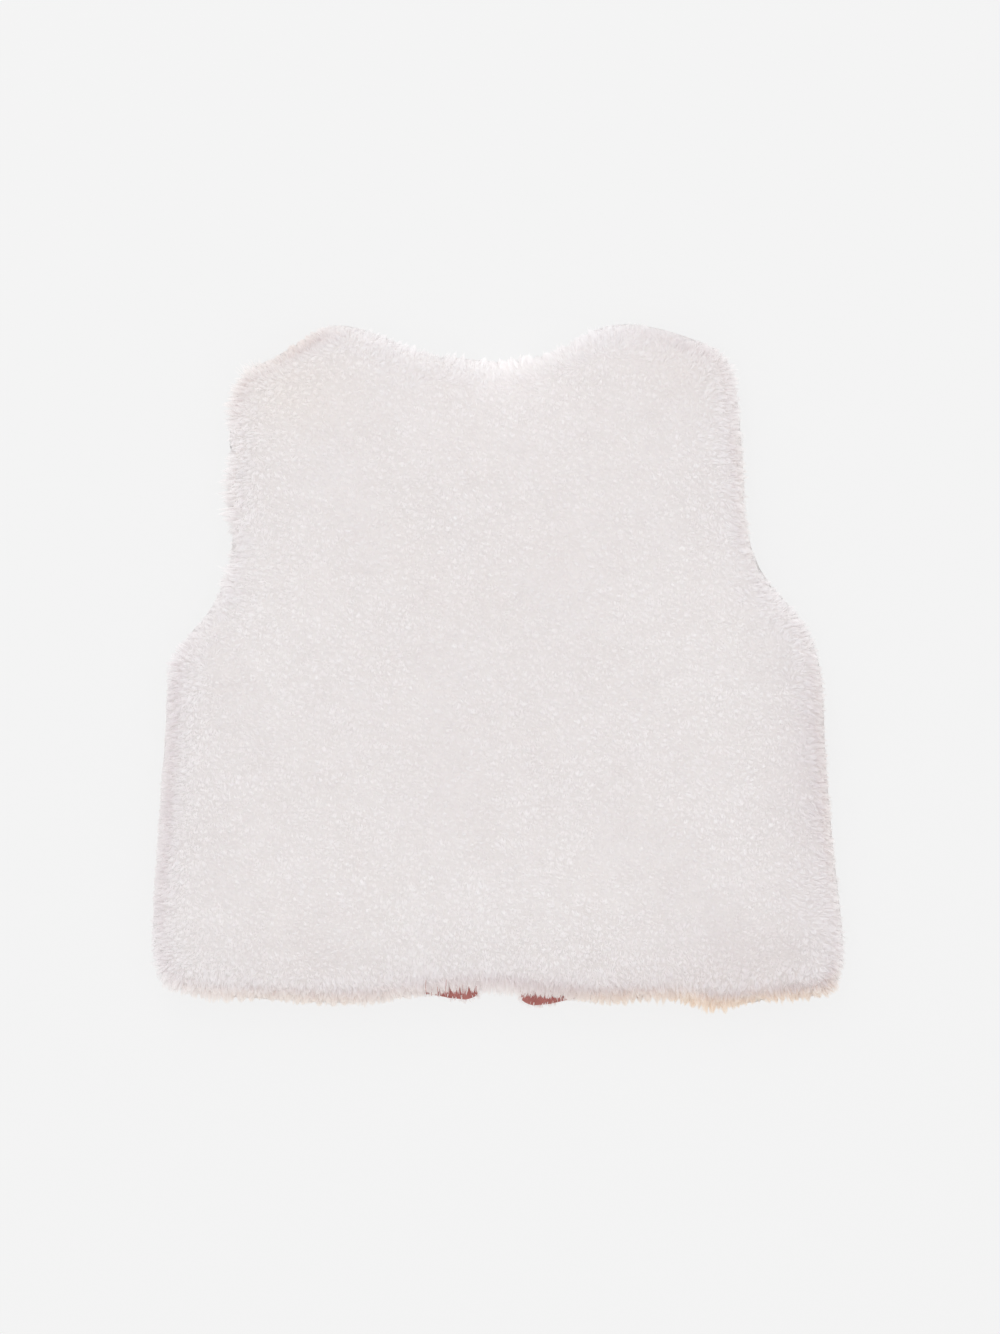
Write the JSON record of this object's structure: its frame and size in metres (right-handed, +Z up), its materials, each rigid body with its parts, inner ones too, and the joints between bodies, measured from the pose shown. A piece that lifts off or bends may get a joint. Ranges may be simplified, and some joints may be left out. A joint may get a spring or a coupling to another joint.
{
  "type": "child's fur vest laid flat",
  "caption": "Short sleeveless plush vest lying flat with its back up, over two open fronts whose lining shows at the hem.",
  "frame": {"origin": "on the table under the middle of the vest's outline", "axes": "+Y towards the neck, +X to the right as seen from above, +Z up from the table, out of the back's pile"},
  "size_m": [0.3473, 0.3432, 0.0239],
  "materials": {
    "plush": "soft off-white faux fur with a 10 mm pile in small locks",
    "rust_lining": "matt rust plain-weave cotton"
  },
  "bodies": {
    "root": {"back": "plush", "front_left": "plush", "front_right": "plush", "lining_left": "rust_lining", "lining_right": "rust_lining"}
  },
  "joints": []
}
